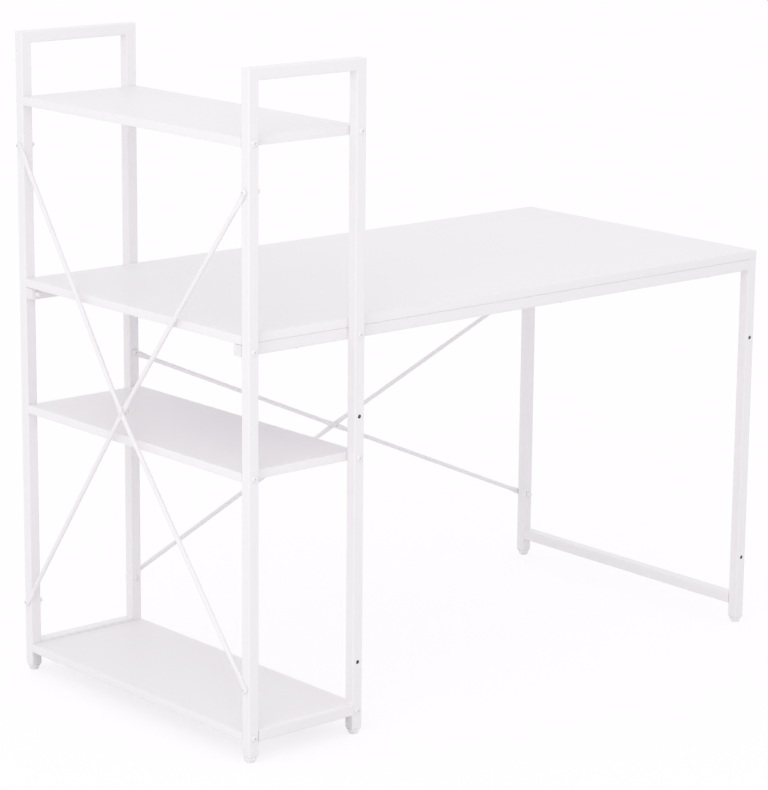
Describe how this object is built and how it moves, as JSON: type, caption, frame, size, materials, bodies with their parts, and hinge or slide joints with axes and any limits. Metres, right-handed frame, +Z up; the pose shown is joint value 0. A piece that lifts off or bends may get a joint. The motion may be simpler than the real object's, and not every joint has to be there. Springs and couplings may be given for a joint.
{
  "type": "computer desk",
  "caption": "White desk with a steel tube frame, an open shelf tower at its left end, a raised end frame at its right end and crossed rod braces.",
  "frame": {"origin": "on the floor, under the centre of the whole desk's box", "axes": "+X along the desk from the shelf tower to the end frame, +Y from the user's side to the back, +Z up"},
  "size_m": [1.2266, 0.6548, 1.135],
  "materials": {
    "frame_paint": "white powder coat, satin, very fine orange peel",
    "fastener_paint": "white enamel over steel, satin",
    "board": "white melamine on particle board, low sheen with a fine pearl texture",
    "edge_band": "white glued plastic edge band, satin",
    "zinc_steel": "bright zinc plated",
    "foot_plastic": "white moulded plastic, matt",
    "cap_plastic": "white moulded plastic, matt"
  },
  "bodies": {
    "desk": {"back_beam": "frame_paint", "back_brace_bolts": "fastener_paint", "back_brace_falling_rod": "frame_paint", "back_brace_nuts": "fastener_paint", "back_brace_rising_rod": "frame_paint", "beam_end_bolts": "fastener_paint", "beam_end_caps": "cap_plastic", "beam_post_bolts": "fastener_paint", "beam_post_nuts": "fastener_paint", "beam_thread_plugs": "zinc_steel", "bottom_shelf": "board", "bottom_shelf_edge_bands": "edge_band", "brace_crossing_bolts": "fastener_paint", "brace_crossing_nuts": "fastener_paint", "end_frame_back_post": "frame_paint", "end_frame_bottom_rail": "frame_paint", "end_frame_front_post": "frame_paint", "end_frame_top_rail": "frame_paint", "front_beam": "frame_paint", "middle_shelf": "board", "middle_shelf_edge_bands": "edge_band", "post_foot_plugs": "foot_plastic", "shelf_bolts": "fastener_paint", "shelf_cross_dowels": "zinc_steel", "side_brace_bolts": "fastener_paint", "side_brace_inner_rod": "frame_paint", "side_brace_nuts": "fastener_paint", "side_brace_outer_rod": "frame_paint", "tabletop": "board", "tabletop_edge_bands": "edge_band", "tabletop_screws": "zinc_steel", "top_shelf": "board", "top_shelf_edge_bands": "edge_band", "tower_back_bottom_rail": "frame_paint", "tower_back_inner_post": "frame_paint", "tower_back_outer_post": "frame_paint", "tower_back_top_rail": "frame_paint", "tower_front_bottom_rail": "frame_paint", "tower_front_inner_post": "frame_paint", "tower_front_outer_post": "frame_paint", "tower_front_top_rail": "frame_paint"},
    "tower_front_outer_foot": {"foot_pad_tower_front_outer": "foot_plastic", "foot_stud_tower_front_outer": "zinc_steel"},
    "tower_front_inner_foot": {"foot_pad_tower_front_inner": "foot_plastic", "foot_stud_tower_front_inner": "zinc_steel"},
    "tower_back_outer_foot": {"foot_pad_tower_back_outer": "foot_plastic", "foot_stud_tower_back_outer": "zinc_steel"},
    "tower_back_inner_foot": {"foot_pad_tower_back_inner": "foot_plastic", "foot_stud_tower_back_inner": "zinc_steel"},
    "end_front_foot": {"foot_pad_end_front": "foot_plastic", "foot_stud_end_front": "zinc_steel"},
    "end_back_foot": {"foot_pad_end_back": "foot_plastic", "foot_stud_end_back": "zinc_steel"}
  },
  "joints": [
    {"name": "tower_front_outer_foot_height", "type": "slide", "parent": "desk", "child": "tower_front_outer_foot", "axis": [0, 0, -1], "range_m": [0, 0.01]},
    {"name": "tower_front_inner_foot_height", "type": "slide", "parent": "desk", "child": "tower_front_inner_foot", "axis": [0, 0, -1], "range_m": [0, 0.01]},
    {"name": "tower_back_outer_foot_height", "type": "slide", "parent": "desk", "child": "tower_back_outer_foot", "axis": [0, 0, -1], "range_m": [0, 0.01]},
    {"name": "tower_back_inner_foot_height", "type": "slide", "parent": "desk", "child": "tower_back_inner_foot", "axis": [0, 0, -1], "range_m": [0, 0.01]},
    {"name": "end_front_foot_height", "type": "slide", "parent": "desk", "child": "end_front_foot", "axis": [0, 0, -1], "range_m": [0, 0.01]},
    {"name": "end_back_foot_height", "type": "slide", "parent": "desk", "child": "end_back_foot", "axis": [0, 0, -1], "range_m": [0, 0.01]}
  ]
}
